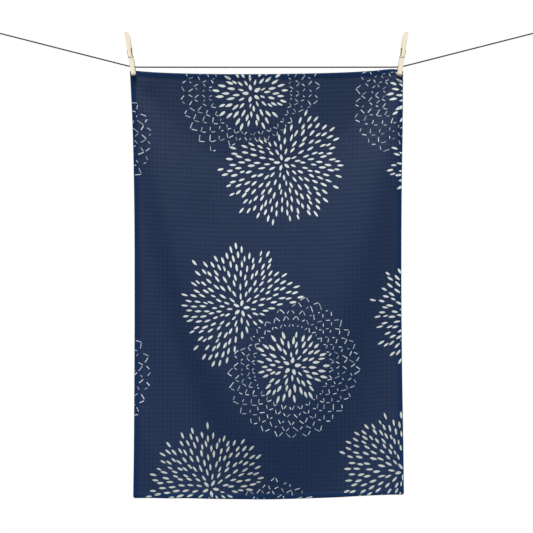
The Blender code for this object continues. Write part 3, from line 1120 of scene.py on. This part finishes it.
def makeFace(name, woven, groups):
    # the printed side
    material, tree, shader = newMaterial(name, clothSettings(woven))
    place = flatPlace(tree)
    colour, yarn = dyedCloth(place, clothLook["dye" if woven else "hemDye"], woven)
    u, v, _ = splitXyz(place)
    ink = scaledNoise(place, clothLook["ink"], 2.0) - 0.5
    shaken = u + ink * clothLook["inkShake"]
    (cu, cv, number), (pu, pv, apart) = pickFlower(place, fullFlowers, 1, clothLook["fullReach"])
    full = useGroup(groups["full"], shaken - cu, v - cv, number, pu, pv, apart)
    (cu, cv, number), (pu, pv, apart) = pickFlower(place, openFlowers, -1, clothLook["openReach"])
    stroke = useGroup(groups["tips"], shaken - cu, v - cv, number, pu, pv, apart)[0]
    heart = useGroup(groups["open"], shaken - cu, v - cv, number, pu, pv, -1.0)
    printed = ink * clothLook["inkChange"] + clothLook["inkCover"]
    if not woven:
        printed = printed * softStep(edgeDistance(u, v), *clothLook["foldBare"])
    # petals grow darker toward the bottom
    fade = softStep(v, clothLook["darkerFrom"], clothLook["darkerTo"])
    white = mixNode("RGBA", fade, clothLook["petal"], clothLook["lowerPetal"])
    stroke = stroke * (1.0 - full[2].math("MAXIMUM", heart[2]))
    colour = mixNode("RGBA", stroke * printed, colour, clothLook["stroke"])
    for petal, cool, _ in (full, heart):
        tint = mixNode("RGBA", cool, white, clothLook["coolPetal"])
        colour = mixNode("RGBA", petal * printed, colour, tint)
    plug(colour, shader.inputs["Base Color"])
    plug(bumpNode(yarn, *clothLook["yarnBump"]), shader.inputs["Normal"])
    return material


def makeReverse(name):
    material, tree, shader = newMaterial(name, clothSettings(True))
    place = flatPlace(tree)
    colour, yarn = dyedCloth(place, clothLook["reverseDye"], True)
    plug(colour, shader.inputs["Base Color"])
    plug(bumpNode(yarn, *clothLook["yarnBump"]), shader.inputs["Normal"])
    return material


def makeThreadMaterial():
    material, tree, shader = newMaterial("navy thread", {"Roughness": hem["threadRoughness"]})
    ply = noiseNode(objectPlace(tree), hem["threadPly"], 1.0)
    tones = [tinted(clothLook["dye"], factor) for factor in hem["threadTones"]]
    plug(mixNode("RGBA", ply, *tones), shader.inputs["Base Color"])
    return material


printGroups = {
    "full": petalGroup("full flower", fullPetals),
    "open": petalGroup("open flower heart", openPetals),
    "tips": tipGroup(),
}
faceMaterial = makeFace("printed waffle cotton", True, printGroups)
hemMaterial = makeFace("printed hem", False, printGroups)
cloth = makeCloth(faceMaterial, makeReverse("plain reverse"))
print("cloth:", len(cloth.data.polygons), "faces")
towelHem = makeHem(hemMaterial)
stitches = makeStitches(makeThreadMaterial())
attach(cloth, "root")
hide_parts("towel")
for piece in (towelHem, stitches):
    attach(piece, "root")
print("hem:", len(towelHem.data.polygons), "faces and", len(stitches.data.polygons), "in its stitches")


# The pegs, each measured up from the tips of its jaws

peg = {
    "length": 0.0652,
    "width": 0.0066,
    "thickness": 0.0066,
    "endThickness": 0.0040,
    "tipThickness": 0.0060,
    "endTaper": 0.0060,
    "tipTaper": 0.0020,
    "roundedEdge": 0.0005,
    "roundedSteps": 3,
    "roundedFrom": math.radians(50),
    "sharpFrom": math.radians(15.5),
    "arcSteps": 12,
    "seatSteps": 20,
    "lineHeight": 0.0137,  # the line, the wire's crossing and the coil, above the tips
    "grooveHeight": 0.0271,
    "coilHeight": 0.0371,
    "pivotGap": 0.0005,
    "handleGap": 0.0030,
    "notchRadius": 0.00155,
    "notchDrop": 0.0004,
    "gap": 0.0003,
    "hemThickness": 0.0024,  # what the jaws hold
    "leanLeft": math.radians(9.8),
    "leanRight": math.radians(9.1),
    "cornerCut": (0.0013, 0.0046),  # the end's inner corner, across and down
    "paleWood": (0.87, 0.78, 0.60),
    "darkGrain": (0.66, 0.54, 0.37),
    "roughness": 0.55,
    "specular": 0.35,
    "grainApart": (0.53, 0.21, 0.17),  # from one leg's grain to the next leg's
    "grain": (900.0, 900.0, 22.0),
    "grainStep": (0.42, 0.75),
    "grainShade": 0.55,
    "grainBump": (0.0002, 0.35),
    "lines": (1500.0, 400.0, 14.0),
    "lineStep": (0.60, 0.68),
    "lineShade": 0.45,
    "paintedShade": (0.15, 0.12, 0.075),  # painted shade at the inner edge, beside the coil, for the shaded hollow where the coil sits
    "paintedShadeSoft": 0.0004,
    "paintedShadeWidth": 0.0014,
    "paintedShadeFrom": -0.0092,  # up from the coil's middle
    "paintedShadeTo": 0.0030,
}

wire = {
    "diameter": 0.0012,
    "roundness": 4,
    "coilRadius": 0.00235,
    "turns": 5,
    "pointsPerTurn": 28,
    "crossingEnd": 0.0026,
    "bend": 0.0012,
    "bendSteps": 5,
    "colour": (0.80, 0.77, 0.71),
    "dull": 0.72,
    "metallic": 0.45,
    "roughness": (0.32, 0.52),
    "drawLines": 1800.0,
}


def jawOpening():
    grip = peg["coilHeight"] - peg["lineHeight"] + towel["underLine"]
    return math.asin((peg["hemThickness"] / 2 + peg["gap"] - peg["pivotGap"] / 2) / grip)


def arc(centre, radius, fromDegrees, toDegrees, steps):
    points = []
    for step in range(steps + 1):
        angle = math.radians(fromDegrees + (toDegrees - fromDegrees) * step / steps)
        points.append((centre[0] + radius * math.cos(angle), centre[1] + radius * math.sin(angle)))
    return points


def legOutline():
    # side view of the back leg from the coil's axis: away from the other leg, and up
    inner = peg["pivotGap"] / 2
    outer = inner + peg["thickness"]
    seat = wire["coilRadius"] + wire["diameter"] / 2 + peg["gap"]
    seatStart = math.degrees(math.asin(-math.sqrt(seat ** 2 - inner ** 2) / seat))
    tip = -peg["coilHeight"]
    top = peg["length"] - peg["coilHeight"]
    notch = peg["lineHeight"] - peg["coilHeight"] - peg["notchDrop"]
    groove = peg["grooveHeight"] - peg["coilHeight"]
    points = [(inner, tip)]
    points += arc((inner, notch), peg["notchRadius"], -90, 90, peg["arcSteps"])
    points += arc((0.0, 0.0), seat, seatStart, -seatStart, peg["seatSteps"])
    points += [(peg["handleGap"], top), (peg["handleGap"] + peg["endThickness"], top)]
    points += [(outer, top - peg["endTaper"])]
    points += arc((outer, groove), wire["diameter"] / 2 + peg["gap"], 90, 270, peg["arcSteps"])
    points += [(outer, tip + peg["tipTaper"]), (inner + peg["tipThickness"], tip)]
    return points


def makeWood(name, seed, side, inner):
    # straight pale grain along the leg, with a few darker lines, and a strip of painted shade at the inner
    # edge beside the coil
    settings = {"Roughness": peg["roughness"], "Specular IOR Level": peg["specular"]}
    material, tree, shader = newMaterial(name, settings)
    where = objectPlace(tree)
    moved = vectorNode("ADD", "Vector", where, tinted(peg["grainApart"], seed))
    grain = scaledNoise(moved, peg["grain"], 4.0)
    lines = scaledNoise(moved, peg["lines"], 1.0)
    dark = softStep(grain, *peg["grainStep"]) * peg["grainShade"]
    dark = dark + softStep(lines, *peg["lineStep"]) * peg["lineShade"]
    wood = mixNode("RGBA", dark, peg["paleWood"], peg["darkGrain"])
    # painted shade: a dark strip on the outer face at the inner edge, beside the coil
    x, y, z = splitXyz(where)
    soft = peg["paintedShadeSoft"]
    strip = peg["width"] / 2 - peg["paintedShadeWidth"]
    face = peg["pivotGap"] / 2 + peg["thickness"] - 2 * soft
    paintedShade = softStep(x * inner, strip - soft, strip + soft)
    paintedShade = paintedShade * softStep(y * side, face - soft, face + soft)
    paintedShade = paintedShade * softStep(z, peg["paintedShadeFrom"] - soft, peg["paintedShadeFrom"] + soft)
    paintedShade = paintedShade * softStep(z, peg["paintedShadeTo"] + 3 * soft, peg["paintedShadeTo"] - 3 * soft)
    plug(mixNode("RGBA", paintedShade, wood, peg["paintedShade"]), shader.inputs["Base Color"])
    plug(bumpNode(grain, *peg["grainBump"]), shader.inputs["Normal"])
    return material


def makeLeg(name, side, inner, material, matrix):
    outline = legOutline()
    build = bmesh.new()
    corners = [build.verts.new((-peg["width"] / 2, side * away, up)) for away, up in outline]
    face = build.faces.new(corners)
    grown = bmesh.ops.extrude_face_region(build, geom=[face])
    moved = [item for item in grown["geom"] if isinstance(item, bmesh.types.BMVert)]
    bmesh.ops.translate(build, vec=(peg["width"], 0.0, 0.0), verts=moved)
    across, down = peg["cornerCut"]
    corner = (inner * (peg["width"] / 2 - across), 0.0, peg["length"] - peg["coilHeight"])
    everything = build.verts[:] + build.edges[:] + build.faces[:]
    bmesh.ops.bisect_plane(build, geom=everything, plane_co=corner, plane_no=(inner * down, 0.0, across),
                           clear_outer=True)
    bmesh.ops.holes_fill(build, edges=[edge for edge in build.edges if edge.is_boundary])
    bmesh.ops.recalc_face_normals(build, faces=build.faces)
    mesh = bpy.data.meshes.new(name)
    build.to_mesh(mesh)
    build.free()
    leg = addPiece(name, mesh, material)
    leg.matrix_world = matrix @ Matrix.Rotation(side * jawOpening(), 4, "X")
    rounded = leg.modifiers.new("rounded edges", "BEVEL")
    rounded.width = peg["roundedEdge"]
    rounded.segments = peg["roundedSteps"]
    rounded.limit_method = "ANGLE"
    rounded.angle_limit = peg["roundedFrom"]
    mesh.shade_smooth()
    mesh.set_sharp_from_angle(angle=peg["sharpFrom"])
    return leg


def springRoute(hand):
    # across the back leg, up its side, round the coil, down and across the front leg
    half = wire["diameter"] / 2
    sideX = hand * (peg["width"] / 2 + peg["gap"] + half)
    turned = (peg["coilHeight"] - peg["grooveHeight"]) * math.sin(jawOpening())
    grooveY = peg["pivotGap"] / 2 + peg["thickness"] + turned
    grooveZ = peg["grooveHeight"] - peg["coilHeight"]
    distance = math.hypot(grooveY, grooveZ)
    leave = math.atan2(grooveZ, -grooveY) - math.acos(wire["coilRadius"] / distance)
    leave %= math.tau
    enter = math.pi - leave
    total = leave - enter + math.tau * wire["turns"]
    steps = round(total / math.tau * wire["pointsPerTurn"])
    coil = []
    for step in range(steps + 1):
        angle = enter + total * step / steps
        x = sideX * (1.0 - 2.0 * step / steps)
        coil.append(Vector((x, wire["coilRadius"] * math.cos(angle), wire["coilRadius"] * math.sin(angle))))

    def arm(side):
        corner = Vector((side * sideX, side * grooveY, grooveZ))
        tangent = coil[0] if side > 0 else coil[-1]
        up = (tangent - corner).normalized()
        inward = Vector((-side * hand, 0.0, 0.0))
        points = [corner + inward * (abs(sideX) + wire["crossingEnd"])]
        for step in range(wire["bendSteps"] + 1):
            angle = math.pi / 2 * step / wire["bendSteps"]
            way = inward * (1 - math.sin(angle)) + up * (1 - math.cos(angle))
            points.append(corner + wire["bend"] * way)
        return points

    return arm(1) + coil + arm(-1)[::-1]


def makeWireMaterial():
    material, tree, shader = newMaterial("bright spring wire", {"Metallic": wire["metallic"]})
    drawn = noiseNode(objectPlace(tree), wire["drawLines"], 3.0)
    dull = tinted(wire["colour"], wire["dull"])
    plug(mixNode("RGBA", drawn, dull, wire["colour"]), shader.inputs["Base Color"])
    smoothest, roughest = wire["roughness"]
    plug(drawn * (roughest - smoothest) + smoothest, shader.inputs["Roughness"])
    return material


def makePeg(name, side, lean, wireMaterial):
    up = Vector((side * math.sin(lean), 0.0, math.cos(lean)))
    coilPlace = linePoint(side * line["pegFromMiddle"]) + up * (peg["coilHeight"] - peg["lineHeight"])
    matrix = Matrix.Translation(coilPlace) @ Matrix.Rotation(side * lean, 4, "Y")
    pieces = []
    for number, (legName, legSide) in enumerate((("front", -1), ("back", 1))):
        wood = makeWood(f"pale wood {name} {legName}", side * 2 + number, legSide, -side)
        leg = makeLeg(f"{name}_{legName}_wood", legSide, -side, wood, matrix)
        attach(leg, "root")
        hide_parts(f"{name}_{legName}")
        pieces.append(leg)
    route = [matrix @ point for point in springRoute(side)]
    radius = wire["diameter"] / 2
    spring = tubes(f"{name}_wire", [route], radius, wireMaterial, wire["roundness"])
    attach(spring, "root")
    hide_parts(f"{name}_spring")
    return pieces + [spring]


wireMaterial = makeWireMaterial()
pegPieces = makePeg("peg_left", -1, peg["leanLeft"], wireMaterial)
pegPieces += makePeg("peg_right", 1, peg["leanRight"], wireMaterial)
print("pegs:", len(pegPieces), "pieces")


# Floor, backdrop and lights

studio = {
    "floorBelow": 0.30,  # the towel's lower edge
    "floorRadius": 1.0,
    "floorFade": (0.55, 0.98),  # where the floor starts and ends melting into the backdrop
    "floorColour": (0.66, 0.66, 0.65),
    "floorDarker": 0.97,
    "floorSides": 96,
    "floorRoughness": 0.8,
    "floorSpecular": 0.1,
    "floorPatches": 6.0,
    "backdrop": (1.0, 1.0, 1.0),
}

# from: where the light comes from, in degrees: round to the left of the viewer, and up
# spread: how wide a patch of sky it fills; light: on a white card that faces it
# mirrored: whether it shows in glossy things
studioLights = table("name round up spread light mirrored", (
    ("key", 10, 66, 36, 1.37, True),
    ("front fill", 0, 5, 150, 0.48, False),
    ("back fill", 170, 40, 120, 0.75, True),
))


def makeFloor():
    floorZ = cadLow.z - studio["floorBelow"]
    build = bmesh.new()
    bmesh.ops.create_circle(build, cap_ends=True, radius=studio["floorRadius"], segments=studio["floorSides"])
    mesh = bpy.data.meshes.new("floor")
    build.to_mesh(mesh)
    build.free()
    floor = addObject("floor", mesh)
    floor.location = (middle.x, 0.0, floorZ)
    settings = {"Roughness": studio["floorRoughness"], "Specular IOR Level": studio["floorSpecular"]}
    material, tree, shader = newMaterial("pale floor", settings)
    where = objectPlace(tree)
    patches = noiseNode(where, studio["floorPatches"], 3.0)
    darker = tinted(studio["floorColour"], studio["floorDarker"])
    plug(mixNode("RGBA", patches, darker, studio["floorColour"]), shader.inputs["Base Color"])
    melted = softStep(vectorNode("LENGTH", "Value", where), *studio["floorFade"])
    plug(1.0 - melted, shader.inputs["Alpha"])
    mesh.materials.append(material)
    floor.visible_diffuse = False  # it throws no light up onto the cloth
    floor.visible_glossy = False  # and shows in no gloss


def makeLights():
    for row in studioLights:
        lamp = bpy.data.lights.new(row["name"], "SUN")
        lamp.angle = math.radians(row["spread"])
        lamp.energy = row["light"] * math.pi
        light = addObject(row["name"], lamp)
        around, up = math.radians(row["round"]), math.radians(row["up"])
        toward = Vector((-math.sin(around) * math.cos(up), -math.cos(around) * math.cos(up), math.sin(up)))
        light.rotation_euler = toward.to_track_quat("Z", "Y").to_euler()
        light.visible_glossy = row["mirrored"]


def makeBackdrop():
    world = bpy.data.worlds.new("white backdrop")
    bpy.context.scene.world = world
    world.use_nodes = True
    world.node_tree.nodes["Background"].inputs["Color"].default_value = (*studio["backdrop"], 1.0)
    world.cycles_visibility.diffuse = False  # seen behind everything, but the lamps do the lighting
    world.cycles_visibility.glossy = False
    bpy.context.scene.view_settings.view_transform = "Standard"


makeFloor()
makeLights()
makeBackdrop()
print("studio lit")


# The length of the clothesline's route

routeLength = sum((b - a).length for a, b in zip(lineRoute, lineRoute[1:]))
